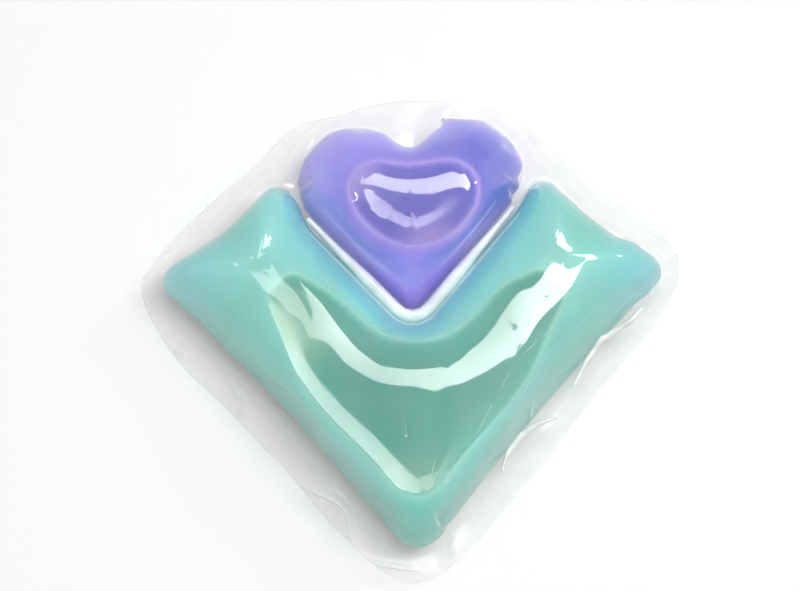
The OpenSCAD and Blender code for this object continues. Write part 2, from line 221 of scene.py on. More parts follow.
class LiquidSettings(bpy.types.PropertyGroup):
    """The two liquid detergents"""

    teal: FloatVectorProperty(
        name="Teal", default=(0.22, 0.6, 0.54), subtype="COLOR",
        description="Colour of the liquid in the V chamber")
    teal_deep: FloatVectorProperty(
        name="Teal under the bubble", default=(0.08, 0.39, 0.31), subtype="COLOR",
        description="Colour of the teal liquid's open surface")
    violet: FloatVectorProperty(
        name="Violet", default=(0.22, 0.19, 0.7), subtype="COLOR",
        description="Colour of the liquid in the heart chamber")
    violet_deep: FloatVectorProperty(
        name="Violet under the bubble", default=(0.15, 0.13, 0.53), subtype="COLOR",
        description="Colour of the violet liquid's open surface")
    teal_level: FloatProperty(
        name="Teal level", default=10.3 * MM, unit="LENGTH",
        description="Height of the teal liquid under its air bubble")
    violet_level: FloatProperty(
        name="Violet level", default=9.75 * MM, unit="LENGTH",
        description="Height of the violet liquid under its air bubble")
    clearance: FloatProperty(
        name="Gap under the film", default=0.03 * MM, unit="LENGTH",
        description="Distance that keeps a liquid's skin off the film's inner face")


class StageSettings(bpy.types.PropertyGroup):
    """Floor, lamps and camera"""

    floor: FloatVectorProperty(
        name="Floor", default=(0.88, 0.88, 0.875), subtype="COLOR",
        description="Colour of the floor")
    lens: FloatProperty(
        name="Lens", default=147.15, unit="CAMERA",
        description="Focal length of the camera")


def select_only(piece):
    """Selects one piece and makes it the active one."""
    bpy.ops.object.select_all(action="DESELECT")
    piece.select_set(True)
    bpy.context.view_layer.objects.active = piece


def apply_modifier(piece, modifier):
    """Makes a modifier's result the piece's own mesh."""
    select_only(piece)
    bpy.ops.object.modifier_apply(modifier=modifier.name)


def merged_copy(node, name):
    """A CAD node's mesh as a new piece, its loose triangles merged."""
    piece = bpy.data.objects.new(name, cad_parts[node].data.copy())
    piece.data.name = name
    piece.data.materials.clear()
    bpy.context.scene.collection.objects.link(piece)
    select_only(piece)
    bpy.ops.object.mode_set(mode="EDIT")
    bpy.ops.mesh.select_all(action="SELECT")
    bpy.ops.mesh.customdata_custom_splitnormals_clear()
    bpy.ops.mesh.remove_doubles(threshold=ON_LEVEL)
    bpy.ops.mesh.mark_sharp(clear=True)
    bpy.ops.object.mode_set(mode="OBJECT")
    return piece


def corners(mesh):
    """The points of a mesh, one row each."""
    co = np.zeros(len(mesh.vertices) * 3)
    mesh.vertices.foreach_get("co", co)
    return co.reshape(-1, 3)


def set_corners(mesh, co):
    """Moves the points of a mesh to new places."""
    mesh.vertices.foreach_set("co", co.ravel())
    mesh.update()


def values(mesh, name):
    """The value that each point of a mesh has under a name."""
    out = np.zeros(len(mesh.vertices))
    mesh.attributes[name].data.foreach_get("value", out)
    return out


def set_values(mesh, name, shares, domain="POINT"):
    """Gives each point or face of a mesh a value under a name."""
    mesh.attributes.new(name, "FLOAT", domain).data.foreach_set("value", shares)


def smooth_step(x):
    """A soft step from 0 to 1."""
    f = np.clip(x, 0, 1)
    return f * f * (3 - 2 * f)


def above(co, span):
    """How far up each point is, from 0 at the first height to 1 at the second, in mm."""
    low, high = span
    return smooth_step((co[:, 2] / MM - low) / (high - low))


def bump(x, y, bx, by, radius):
    """1 at a place in plan, down to 0 around it."""
    return np.exp(-((x - bx) ** 2 + (y - by) ** 2) / radius ** 2)


def plan_tree(points):
    """A search tree of points in plan."""
    tree = kdtree.KDTree(len(points))
    for i, p in enumerate(points):
        tree.insert((p[0], p[1], 0), i)
    tree.balance()
    return tree


def rim_edges(node):
    """The edges of a chamber's rim on the seal, as pairs of plan points."""
    piece = merged_copy(node, "rim")
    co = corners(piece.data)
    pairs = [tuple(e.vertices) for e in piece.data.edges]
    on_seal = np.abs(co[:, 2] - SEAL_Z) < ON_LEVEL
    rim = np.array([(co[a, :2], co[b, :2]) for a, b in pairs if on_seal[a] and on_seal[b]])
    bpy.data.meshes.remove(piece.data)
    return rim


RIMS = {node: rim_edges(node) for node in ("teal_liquid", "violet_liquid")}


def inside_rim(points, rim):
    """True for each plan point inside a closed rim, by counting the edges to its right."""
    x, y = points[:, :1], points[:, 1:2]
    (ax, ay), (bx, by) = rim[:, 0].T, rim[:, 1].T
    spans = (ay > y) != (by > y)
    rise = np.where(by == ay, 1, by - ay)
    crossing = ax + (y - ay) / rise * (bx - ax)
    return (spans & (crossing > x)).sum(1) % 2 == 1


def rim_distance(points, rim):
    """Distance from each plan point to a rim's edges."""
    best = np.full(len(points), np.inf)
    for a, b in rim:
        d = b - a
        f = np.clip(((points - a) @ d) / (d @ d), 0, 1)
        best = np.minimum(best, np.linalg.norm(points - a - f[:, None] * d, axis=1))
    return best


def is_rim_edge(co, a, b):
    """True if an edge of a sheet lies along a chamber's rim."""
    middle = (co[a, :2] + co[b, :2]) / 2
    length = np.linalg.norm(co[a, :2] - co[b, :2])
    for rim in RIMS.values():
        off = np.linalg.norm(rim.mean(1) - middle, axis=1)
        near = off.argmin()
        if off[near] < RIM_MATCH and abs(np.linalg.norm(rim[near, 0] - rim[near, 1]) - length) < RIM_MATCH:
            return True
    return False


def crease_rims(piece, height):
    """Keeps the edges along the rims at one height sharp under subdivision."""
    co = corners(piece.data)
    flat = np.abs(co[:, 2] - height) < 2 * ON_LEVEL
    crease = piece.data.attributes.new("crease_edge", "FLOAT", "EDGE")
    for e in piece.data.edges:
        a, b = e.vertices
        if flat[a] and flat[b] and is_rim_edge(co, a, b):
            crease.data[e.index].value = RIM_CREASE


def rounded(piece):
    """Turns triangles to quads and rounds the piece by subdivision."""
    select_only(piece)
    bpy.ops.object.mode_set(mode="EDIT")
    bpy.ops.mesh.select_all(action="SELECT")
    between, off_square = (math.radians(angle) for angle in QUAD_ANGLES)
    bpy.ops.mesh.tris_convert_to_quads(face_threshold=between, shape_threshold=off_square)
    bpy.ops.object.mode_set(mode="OBJECT")
    smooth = piece.modifiers.new("rounding", "SUBSURF")
    smooth.levels = smooth.render_levels = SMOOTH_LEVELS
    apply_modifier(piece, smooth)


def film_sheet(node, name, up):
    """The outer face of a film as an open sheet, rounded, with the share of loose skirt on each point."""
    piece = merged_copy(node, name)
    bpy.ops.object.mode_set(mode="EDIT")
    mesh = bmesh.from_edit_mesh(piece.data)
    for face in mesh.faces:
        face.select = face.normal.z * up < OUTER_LEAN
    bmesh.update_edit_mesh(piece.data)
    bpy.ops.mesh.delete(type="FACE")
    bpy.ops.object.mode_set(mode="OBJECT")
    co = corners(piece.data)
    crease_rims(piece, co[np.abs(co[:, 2] - SEAL_Z - up * CAD_FILM) < ON_LEVEL][0, 2])
    outside = ~(inside_rim(co, RIMS["teal_liquid"]) | inside_rim(co, RIMS["violet_liquid"]))
    away = np.minimum(*[rim_distance(co[:, :2], rim) for rim in RIMS.values()])
    set_values(piece.data, "loose", np.where(outside, np.clip(away / LOOSE_FROM, 0, 1), 0))
    rounded(piece)
    return piece


def ragged(co):
    """Pushes the points near the chambers' edges in plan, as EDGE_BUMPS and LOBE_STEP say."""
    out = co.copy()
    x, y, _ = co.T / MM
    for bx, by, radius, dx, dy in EDGE_BUMPS:
        pull = bump(x, y, bx, by, radius)
        out[:, 0] += dx * pull * MM
        out[:, 1] += dy * pull * MM
    sx, sy, width, across, along, height = LOBE_STEP
    rise = smooth_step((x - sx) / width + 0.5) * np.exp(-((x - sx) / across) ** 2)
    out[:, 1] += height * rise * np.exp(-((y - sy) / along) ** 2) * MM
    return out


def heart_crown(co, lift=0.0):
    """Rounds the top of the heart's dome to a crown with two lobes, with a small sink towards the cleft."""
    x, y, z = co.T / MM
    cx, cy, half_x, half_y, top = HEART_CROWN
    across, along = (x - cx) / half_x, (y - cy) / half_y
    crown = top + lift + LOBE_RISE * (x - cx) ** 2 * (y - cy)
    for share, (plain, steep) in zip((across, along), CROWN_FALL):
        crown -= plain * share ** 2 + steep * share ** 6
    sink, start, length, width = CLEFT_SINK
    crown -= sink * np.exp(-(x / width) ** 2) * smooth_step((y - cy - start) / length)
    end, fade, lowest = CROWN_END
    share = smooth_step((end - np.hypot(across, along)) / fade) * (z > lowest)
    out = co.copy()
    out[:, 2] += share * (crown * MM - co[:, 2])
    return out


def warped(co):
    """Shifts the upper parts of the domes in plan, and raises or dents them."""
    out = co.copy()
    x, y, z = co.T / MM
    low, high = WARP_FROM
    share = np.clip((z - low) / (high - low), 0, 1)
    for wx, wy, radius, dx, dy in DOME_WARP:
        pull = bump(x, y, wx, wy, radius) * share
        out[:, 0] += dx * pull * MM
        out[:, 1] += dy * pull * MM
    for wx, wy, radius, dz in DOME_RISES:
        out[:, 2] += dz * bump(x, y, wx, wy, radius) * share * MM
    return out


def line_distance(points, line):
    """Distance from each plan point to a line, and how far along it the nearest place is, from 0 to 1."""
    best, along = np.full(len(points), np.inf), np.zeros(len(points))
    for i, (a, b) in enumerate(zip(line[:-1], line[1:])):
        a, b = np.array(a), np.array(b)
        d = b - a
        f = np.clip(((points - a) @ d) / (d @ d), 0, 1)
        away = np.linalg.norm(points - a - f[:, None] * d, axis=1)
        near = away < best
        best[near] = away[near]
        along[near] = (i + f[near]) / (len(line) - 1)
    return best, along


def skirt_wrinkles(co, height):
    """Height of the skirt's waves at each point."""
    (mx, my), rays, outwards, ray_share = SKIRT_RAYS
    scale, slice_at, swell_share = SKIRT_SWELL
    out = np.zeros(len(co))
    for i, (x, y, _) in enumerate(co / MM):
        a = math.atan2(y - my, x - mx)
        ray = noise.noise(Vector((rays * math.cos(a), rays * math.sin(a), outwards * math.hypot(x, y))))
        swell = noise.noise(Vector((x * scale, y * scale, slice_at)))
        out[i] = height * (ray_share * ray + swell_share * swell)
    return out


def folds(co):
    """Height, in metres, and milkiness of the skirt's folds at each point."""
    plan = co[:, :2] / MM
    height, milk = np.zeros(len(co)), np.zeros(len(co))
    for rise, width, milky, line in SKIRT_FOLDS:
        away, along = line_distance(plan, line)
        shape = np.exp(-(away / width) ** 2) * np.sqrt(np.clip(4 * along * (1 - along), FOLD_END, 1))
        height = np.maximum(height, rise * MM * shape)
        milk = np.maximum(milk, milky * shape)
    return height, milk


def wave_skirt(co, loose):
    """Moves the loose film's points up and down to waves and folds, and returns the folds' milkiness."""
    height, milk = folds(co)
    co[:, 2] += loose * (skirt_wrinkles(co, bpy.context.scene.capsule_film.wrinkle) + height)
    return milk * loose


def seam_pull(co):
    """Moves the walls on both sides of the seam between the chambers towards it."""
    plan = co[:, :2]
    v_side, heart_side = (rim_distance(plan, rim) for rim in RIMS.values())
    gap = heart_side - v_side
    far = np.maximum(v_side, heart_side) / MM
    slope = np.zeros((len(co), 2))
    for axis in (0, 1):
        shifted = plan.copy()
        shifted[:, axis] += SLOPE_STEP
        v_there, heart_there = (rim_distance(shifted, rim) for rim in RIMS.values())
        slope[:, axis] = (heart_there - v_there - gap) / SLOPE_STEP
    length = np.maximum(np.linalg.norm(slope, axis=1), SLOPE_LEAST)[:, None]
    v_pull, heart_pull, reach = SEAM_BULGE
    pull = np.where(gap > 0, v_pull, heart_pull) * (SEAM_SHARE + (1 - SEAM_SHARE) * above(co, SEAM_FROM))
    near = np.exp(-((far - SEAM_WIDTH) / reach).clip(0) ** 2)
    near *= smooth_step(np.abs(gap) / MM / SEAM_MIDDLE) * (far < SEAM_END)
    (tip_x, tip_y), calm, spread = TIP_CALM
    near *= 1 - calm * bump(*plan.T / MM, tip_x, tip_y, spread) * (gap < 0)
    out = co.copy()
    out[:, :2] -= np.sign(gap)[:, None] * slope / length * (pull * near)[:, None] * MM
    return out


def near_tip(co):
    """1 at the heart's tip in plan, down to 0 around it."""
    (tip_x, tip_y), _, spread = TIP_CLEARANCE
    share = bump(*co[:, :2].T / MM, tip_x, tip_y, spread)
    return np.where(share > TIP_LEAST, share, 0)


def add_group(piece, name, shares):
    """A vertex group that holds the points with a share above 0."""
    group = piece.vertex_groups.new(name=name)
    for i, share in enumerate(shares):
        if share > 0:
            group.add([i], float(share), "REPLACE")


def smooth_group(piece, shares, rounds, axes=(True, True, True)):
    """Smooths the points of a piece by each one's share."""
    add_group(piece, "soft", shares)
    soft = piece.modifiers.new("soft", "SMOOTH")
    soft.factor = SMOOTH_FACTOR
    soft.iterations = rounds
    soft.use_x, soft.use_y, soft.use_z = axes
    soft.vertex_group = "soft"
    apply_modifier(piece, soft)
    piece.vertex_groups.clear()


def shape_top(piece):
    """Gives the top film's sheet its domes, waves, seam and ragged edges, and returns its milkiness."""
    set_corners(piece.data, warped(heart_crown(corners(piece.data), CROWN_LIFT)))
    smooth_group(piece, above(corners(piece.data), DOME_FROM), DOME_SMOOTH)
    co = corners(piece.data)
    milk = wave_skirt(co, values(piece.data, "loose"))
    co = ragged(seam_pull(co))
    set_corners(piece.data, co)
    smooth_group(piece, near_tip(co) * above(co, DOME_FROM), DOME_SMOOTH)
    return milk


def shape_base(piece):
    """Gives the base film's sheet its waves, seam and ragged edges, and returns its milkiness."""
    co = corners(piece.data)
    milk = wave_skirt(co, values(piece.data, "loose"))
    co = ragged(seam_pull(co))
    co[:, 2] = np.maximum(co[:, 2], 0)
    set_corners(piece.data, co)
    return milk


def make_film(node, name, up, least, settings):
    """Makes one film as a thin wall that reflects at least this share of the light."""
    piece = film_sheet(node, name, up)
    set_values(piece.data, "milk", shape_top(piece) if up > 0 else shape_base(piece))
    wall = piece.modifiers.new("wall", "SOLIDIFY")
    wall.thickness = settings.wall
    wall.offset = -1
    apply_modifier(piece, wall)
    bpy.ops.object.shade_smooth()
    piece.data.materials.append(film_material(node + "_clear", least, settings))
    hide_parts(node)
    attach(piece, BODY)


def dome_guide():
    """The top film's smooth outer sheet, for the liquids to lie against."""
    guide = film_sheet("top_film", "dome", 1)
    shape_top(guide)
    return guide


def fit_under(piece, guide, gap):
    """Lays a liquid's dome under the guide at the given distance."""
    add_group(piece, "dome", above(corners(piece.data), FIT_FROM))
    wrap = piece.modifiers.new("wrap", "SHRINKWRAP")
    wrap.target = guide
    wrap.wrap_method = "NEAREST_SURFACEPOINT"
    wrap.wrap_mode = "ABOVE_SURFACE"
    wrap.offset = -gap
    wrap.vertex_group = "dome"
    apply_modifier(piece, wrap)
    piece.vertex_groups.clear()


def unlevelled(piece):
    """Raises a liquid's flat top back to the dome of the film above it."""
    film = merged_copy("top_film", "dome")
    film_co = corners(film.data)
    tree = plan_tree(film_co)
    co = corners(piece.data)
    for p in co:
        if p[2] > SEAL_Z + 10 * ON_LEVEL:
            found = [k for _, k, _ in tree.find_range((p[0], p[1], 0), 3 * ON_LEVEL)]
            if found:
                p[2] = max(p[2], min(film_co[k, 2] for k in found))
    set_corners(piece.data, co)
    bpy.data.meshes.remove(film.data)


def make_liquid(node, name, level, material, settings):
    """Makes one chamber's liquid, rounded, laid under the film and open at its level."""
    piece = merged_copy(node, name)
    unlevelled(piece)
    crease_rims(piece, SEAL_Z)
    rounded(piece)
    mesh = piece.data
    normals = np.zeros(len(mesh.vertices) * 3)
    mesh.vertices.foreach_get("normal", normals)
    co = warped(heart_crown(corners(mesh))) - settings.clearance * normals.reshape(-1, 3)
    set_corners(mesh, ragged(seam_pull(co)))
    guide = dome_guide()
    fit_under(piece, guide, settings.clearance + bpy.context.scene.capsule_film.wall + FIT_GAP)
    bpy.data.meshes.remove(guide.data)
    co = corners(mesh)
    smooth_group(piece, above(co, WALL_FROM) * (co[:, 2] < WALL_TO * MM), WALL_SMOOTH)
    co = corners(mesh)
    co[:, 2] -= TIP_CLEARANCE[1] * MM * near_tip(co) * above(co, TIP_FROM)
    set_corners(mesh, co)
    sink_bubble(piece, level, DISHES[node])
    select_only(piece)
    bpy.ops.object.shade_smooth_by_angle(angle=math.radians(SHARP_ANGLE))
    mesh.materials.append(material)
    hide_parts(node)
    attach(piece, BODY)


def sink_bubble(piece, level, dish):
    """Cuts the dome at the liquid's level and lowers what is above to a dish with a meniscus at its rim."""
    select_only(piece)
    bpy.ops.object.mode_set(mode="EDIT")
    bpy.ops.mesh.select_all(action="SELECT")
    bpy.ops.mesh.bisect(plane_co=(0, 0, level), plane_no=(0, 0, 1), threshold=ON_LEVEL)
    bpy.ops.object.mode_set(mode="OBJECT")
    co = corners(piece.data)
    tree = plan_tree(co[np.abs(co[:, 2] - level) < 2 * ON_LEVEL])
    shallow, deep, start, end, width = dish
    depth = (shallow + (deep - shallow) * smooth_step((co[:, 1] / MM - start) / (end - start))) * MM
    open_top = np.zeros(len(co))
    for i, p in enumerate(co):
        if p[2] > level + 2 * ON_LEVEL:
            away = tree.find((p[0], p[1], 0))[2]
            p[2] = level - depth[i] * (1 - math.exp(-away / (width * MM)))
            open_top[i] = 1
    set_corners(piece.data, co)
    smooth_group(piece, open_top, DISH_SMOOTH, (False, False, True))
    # Painted highlight: a lighter line along the bubble's edge, fading with distance from the cut
    line = np.array([math.exp(-(tree.find((p[0], p[1], 0))[2] / BUBBLE_HIGHLIGHT_WIDTH) ** 2)
                     if p[2] > level - deep * MM else 0 for p in corners(piece.data)])
    set_values(piece.data, "bubble_edge_highlight", line)
    open_faces = np.array([float(max(open_top[v] for v in f.vertices)) for f in piece.data.polygons])
    set_values(piece.data, "open_top", open_faces, "FACE")


# Materials


class Shader:
    """The nodes of a new material or world, with short ways to add to them."""

    def __init__(self, owner, output="OutputMaterial"):
        owner.use_nodes = True
        self.owner = owner
        self.nodes, self.links = owner.node_tree.nodes, owner.node_tree.links
        self.nodes.clear()
        self.output = self.nodes.new("ShaderNode" + output)

    def add(self, kind, inputs=None, output=0, **settings):
        """Adds a node, sets its inputs or links them to other outputs, and returns one of its own outputs."""
        node = self.nodes.new("ShaderNode" + kind)
        for name, value in settings.items():
            setattr(node, name, value)
        for name, value in (inputs or {}).items():
            socket = node.inputs[name]
            if isinstance(value, bpy.types.NodeSocket):
                self.links.new(value, socket)
            else:
                socket.default_value = (*value, 1) if socket.type == "RGBA" else value
        return node.outputs[output]

    def maths(self, operation, first, second):
        """A sum on two values."""
        return self.add("Math", {0: first, 1: second}, operation=operation)

    def ranged(self, value, span, ends, kind="LINEAR"):
        """A value carried from one span to another."""
        inputs = dict(zip(("From Min", "From Max", "To Min", "To Max"), (*span, *ends)))
        return self.add("MapRange", {"Value": value, **inputs}, interpolation_type=kind)

    def attribute(self, name):
        """A value that the mesh has under a name."""
        return self.add("Attribute", output="Fac", attribute_name=name)

    def light(self, kind):
        """1 for one kind of ray, such as Shadow, and 0 for the others."""
        return self.add("LightPath", output=f"Is {kind} Ray")

    def place(self):
        """The point that is looked at, in metres."""
        return self.add("TexCoord", output="Object")

    def near(self, place, point, near, far):
        """1 within the near distance of a point and 0 beyond the far one, in metres."""
        away = self.add("VectorMath", {0: place, 1: point}, "Value", operation="DISTANCE")
        return self.ranged(away, (near, far), (1, 0), "SMOOTHSTEP")

    def clouds(self, scale, ends, span=(0.35, 0.65), detail=3, distortion=0.5):
        """Soft clouds between two values."""
        inputs = {"Vector": self.place(), "Scale": scale, "Detail": detail, "Distortion": distortion}
        return self.ranged(self.add("TexNoise", inputs), span, ends)

    def colour(self, factor, first, second):
        """A colour that goes from the first to the second, each of them a colour or another node's output."""
        return self.add("Mix", {"Factor": factor, 6: first, 7: second}, 2, data_type="RGBA")

    def blend(self, factor, first, second):
        """Shading that goes from the first to the second."""
        return self.add("MixShader", {0: factor, 1: first, 2: second})

    def finish(self, surface):
        """Gives the material or world its surface and returns it."""
        self.links.new(surface, self.output.inputs["Surface"])
        return self.owner


# A film reflects this share at its steepest, and the power sets how fast the share grows towards that
GLANCE_SHINE, GLANCE_POWER = 0.9, 5
# From the first to the second share of looseness, the film gets duller and its reflections weaker
LOOSE_SPAN, LOOSE_ROUGHNESS, LOOSE_SHINE = (0.2, 1.0), (0.05, 0.4), (1.0, 0.5)
# The film's haze, in shares of the setting, and how much of the milk stays in the film's shadow
HAZE_ENDS, MILK_SHADOW = (0.4, 2), 0.2


def film_reflection(s, least):
    """The share of light that a film reflects: more at a glancing angle, and only where it faces the ray."""
    facing = s.add("LayerWeight", {"Blend": 0.5}, "Facing")
    share = s.ranged(s.maths("POWER", facing, GLANCE_POWER), (0, 1), (least, GLANCE_SHINE))
    front = s.ranged(s.add("NewGeometry", output="Backfacing"), (0, 1), (1, 0))
    return s.maths("MULTIPLY", share, front)


def film_material(name, least, settings):
    """A clear film that reflects at least this share of the light."""
    s = Shader(bpy.data.materials.new(name))
    loose, shadow = s.attribute("loose"), s.light("Shadow")
    clear = s.add("BsdfTransparent", {"Color": settings.tint})
    dull = s.ranged(loose, LOOSE_SPAN, LOOSE_ROUGHNESS)
    shine = s.add("BsdfGlossy", {"Color": (1, 1, 1), "Roughness": dull})
    shown = s.maths("MULTIPLY", s.ranged(shadow, (0, 1), (1, 0)), s.ranged(loose, LOOSE_SPAN, LOOSE_SHINE))
    skin = s.blend(s.maths("MULTIPLY", film_reflection(s, least), shown), clear, shine)
    haze = s.clouds(260, [settings.haze * end for end in HAZE_ENDS], (0.35, 0.75), detail=4, distortion=0)
    lit = s.ranged(shadow, (0, 1), (1, MILK_SHADOW))
    milkiness = s.maths("MULTIPLY", s.maths("MAXIMUM", haze, s.attribute("milk")), lit)
    milk = s.add("BsdfPrincipled", {"Base Color": (0.93, 0.95, 0.95), "Roughness": 0.4})
    return s.finish(s.blend(milkiness, skin, milk))


# The skin's roughness, and the open liquid's at its glossiest and dullest
SKIN_ROUGHNESS, OPEN_ROUGHNESS = 0.4, (0.06, 0.26)
# The open liquid's mirror gloss ends over this span to the right
GLOSS_END = (1.5 * MM, 4.5 * MM)
# The low walls' painted lighter colour, and their painted glow near the seam, end over this span upwards
PAINTED_WALL_FADE = (5.5 * MM, 9.8 * MM)
# A painted glow, standing in for light that spreads inside the gel, shows on the low walls around this point,
# between these distances
PAINTED_WALL_GLOW = ((0.0003, 0.0095, 0.005), 0.007, 0.015)
# Share of the light that a gel lets through to its shadow
GEL_CLEAR = 0.3
# Each gel: the lighter colour of its low walls, painted light, and the colour of the painted highlight line
# at its bubble, the tints of its skin and of its open surface, some of them painted light, shade and
# reflection as marked, how far red, green and blue spread inside it, the span over which its mirror gloss
# ends towards the back, and how strongly its low walls show a painted glow. A tint is a colour with the point
# that it spreads from and its near and far distances, in metres.
GELS = {
    "teal": {
        "wall": (0.22, 0.62, 0.54), "line": (0.27, 0.63, 0.52),
        "tints": (
            # Painted light: a lighter, bluer teal near the seam with the heart, where the groove between the
            # chambers is shaded
            ((0.25, 0.71, 0.7), (0.0002, 0.0105, 0.004), 0.0095, 0.0165),
            # Painted light and shade: the left ear lighter, the tip and the right ear darker
            ((0.25, 0.62, 0.62), (-0.021, 0.006, 0.006), 0.002, 0.009),
            ((0.15, 0.53, 0.45), (0.0002, -0.018, 0.006), 0.002, 0.007),
            ((0.21, 0.56, 0.6), (0.021, 0.005, 0.006), 0.001, 0.007)),
        "open_tints": (
            # Painted reflection: a bluer teal on the open surface nearest the heart, standing in for the
            # violet reflected there
            ((0.13, 0.44, 0.44), (0.0002, 0.004, 0.01), 0.003, 0.009),
            ((0.24, 0.5, 0.35), (-0.012, -0.001, 0.01), 0.001, 0.006),
            ((0.2, 0.45, 0.34), (0.0002, -0.016, 0.01), 0.001, 0.006)),
        "radius": (0.6, 1.2, 1.0), "gloss_top": (-4.0 * MM, -0.5 * MM), "glow": 0.12,
    },
    "violet": {
        "wall": (0.45, 0.42, 1.0), "line": (0.36, 0.29, 0.76),
        "tints": (
            # Painted light: a lighter violet at the heart's tip, by the shaded seam
            ((0.34, 0.27, 0.98), (0.001, 0.005, 0.005), 0.001, 0.007),
            # Painted shade and light: the right lobe, which the side lamp lights, darker, and the left lobe
            # lighter
            ((0.13, 0.14, 0.6), (0.008, 0.015, 0.008), 0.002, 0.008),
            ((0.31, 0.28, 0.86), (-0.007, 0.017, 0.006), 0.001, 0.008)),
        "open_tints": (
            ((0.36, 0.27, 0.62), (0.002, 0.007, 0.008), 0.001, 0.004),
            ((0.4, 0.33, 0.68), (-0.005, 0.014, 0.008), 0.001, 0.004)),
        "radius": (0.7, 0.6, 1.3), "gloss_top": (15 * MM, 16 * MM), "glow": 0.23,
    },
}


def tinted(s, place, colour, tints):
    """A colour with tints that spread from their points."""
    for tint, *spread in tints:
        colour = s.colour(s.near(place, *spread), colour, tint)
    return colour


def liquid_material(gel, colour, open_colour):
    """A cloudy gel, with one colour on its skin and another where it is open."""
    s = Shader(bpy.data.materials.new(gel + "_gel"))
    look, place, open_top = GELS[gel], s.place(), s.attribute("open_top")
    x, y, z = s.add("SeparateXYZ", {0: place}).node.outputs
    dull = s.maths(
        "MAXIMUM", s.ranged(x, GLOSS_END, OPEN_ROUGHNESS, "SMOOTHERSTEP"),
        s.ranged(y, look["gloss_top"], OPEN_ROUGHNESS, "SMOOTHERSTEP"))
    # Painted light: low on the walls the gel takes a lighter colour, standing in for light that passes
    # through it
    low = s.ranged(z, PAINTED_WALL_FADE, (1, 0))
    skin = tinted(s, place, s.colour(low, colour, look["wall"]), look["tints"])
    whole = s.colour(open_top, skin, tinted(s, place, open_colour, look["open_tints"]))
    # Painted highlight: the bubble's edge gets a lighter line where the meniscus meets the film
    highlighted = s.colour(s.attribute("bubble_edge_highlight"), whole, look["line"])
    shade = s.add("HueSaturation", {"Value": s.clouds(110, (0.93, 1.05)), "Color": highlighted})
    # Painted glow: the low walls near the seam glow, standing in for light that spreads inside the gel
    glow = s.maths("MULTIPLY", s.near(place, *PAINTED_WALL_GLOW), low)
    body = s.add("BsdfPrincipled", {
        "IOR": 1.45, "Specular IOR Level": 0.75, "Base Color": shade, "Emission Color": shade,
        "Roughness": s.add("Mix", {0: open_top, 2: SKIN_ROUGHNESS, 3: dull}),
        "Emission Strength": s.ranged(glow, (0, 1), (0, look["glow"])),
        "Subsurface Weight": 1.0, "Subsurface Radius": look["radius"], "Subsurface Scale": 10.0 * MM})
    through = s.add("BsdfTransparent", {"Color": [1 - GEL_CLEAR * (1 - c) for c in colour]})
    return s.finish(s.blend(s.maths("MULTIPLY", s.light("Shadow"), GEL_CLEAR), body, through))


class CAPSULE_OT_teal_liquid(bpy.types.Operator):
    """Makes the teal liquid in the V chamber"""

    bl_idname = "capsule.teal_liquid"
    bl_label = "Teal liquid"

    def execute(self, context):
        settings = context.scene.capsule_liquids
        material = liquid_material("teal", tuple(settings.teal), tuple(settings.teal_deep))
        make_liquid("teal_liquid", "teal_gel_body", settings.teal_level, material, settings)
        return {"FINISHED"}


class CAPSULE_OT_violet_liquid(bpy.types.Operator):
    """Makes the violet liquid in the heart chamber"""

    bl_idname = "capsule.violet_liquid"
    bl_label = "Violet liquid"

    def execute(self, context):
        settings = context.scene.capsule_liquids
        material = liquid_material("violet", tuple(settings.violet), tuple(settings.violet_deep))
        make_liquid("violet_liquid", "violet_gel_body", settings.violet_level, material, settings)
        return {"FINISHED"}


# The least share of light that each film reflects
TOP_SHINE, BASE_SHINE = 0.07, 0.02


class CAPSULE_OT_films(bpy.types.Operator):
    """Makes the domed top film and the base film, with the skirt around both"""

    bl_idname = "capsule.films"
    bl_label = "Clear films"

    def execute(self, context):
        settings = context.scene.capsule_film
        make_film("top_film", "top_film_sheet", 1, TOP_SHINE, settings)
        make_film("base_film", "base_film_sheet", -1, BASE_SHINE, settings)
        return {"FINISHED"}


# Creases in the top film, in mm: thickness, and the points of each line in plan. The last line is painted
# light, a pale line standing in for light along the edge where the V's inner wall turns into its top
CREASES = (
    (0.05, ((1.85, -12.4), (1.6, -13.6), (1.35, -14.9))),
    (0.045, ((3.35, -13.3), (3.2, -14.2), (2.6, -14.9), (2.1, -15.1))),
    (0.03, ((12.7, -0.8), (10.5, -2.8), (9.1, -4.1))),
    (0.03, ((9.0, -4.3), (7.2, -7.4), (5.8, -10.0), (3.2, -12.7))),
    (0.025, ((11.4, -4.6), (9.3, -7.3), (7.0, -10.6))),
    (0.035, ((-0.75, -9.2), (-0.7, -9.9), (-0.66, -10.6))),
    # Painted light: this line stands in for light along the edge where the V's inner wall turns into its top
    (0.03, ((-9.7, 7.2), (-7.2, 3.5), (-5.2, 1.2), (-3.2, -0.6), (-1.2, -1.5))),
)
# Rolled edges of loose film in the skirt, in mm: thickness, and the points of each line in plan
CURLS = (
    (0.32, ((21.0, 2.2), (19.9, 0.9), (18.6, 0.2), (17.2, -0.7), (15.9, -2.5), (14.6, -4.9))),
    (0.32, ((12.9, -7.8), (11.0, -8.4), (9.6, -9.4), (8.5, -10.8), (7.9, -12.5))),
    (0.07, FOLD_LOWER_LEFT),
    (0.06, FOLD_BOTTOM),
    (0.05, FOLD_LEFT),
    (0.05, ((2.6, -17.4), (3.0, -18.7), (3.3, -20.6))),
)
# A line is drawn in steps of about this length in mm, and no shorter than so many steps from point to point
LINE_STEP, LEAST_STEPS = 0.3, 3
# A line's share of its thickness at its ends, and how much its middle adds
LINE_TAPER, WELD_TAPER = (0.35, 0.65), (0.4, 0.9)
# The film's welded ridge between the chambers, in mm: thickness, height, and where it ends along the heart.
# Its white is partly the seal's own milkiness and partly painted light, standing in for the seam lit through
# the film
WELD = (0.58, 5.5, 12.3)
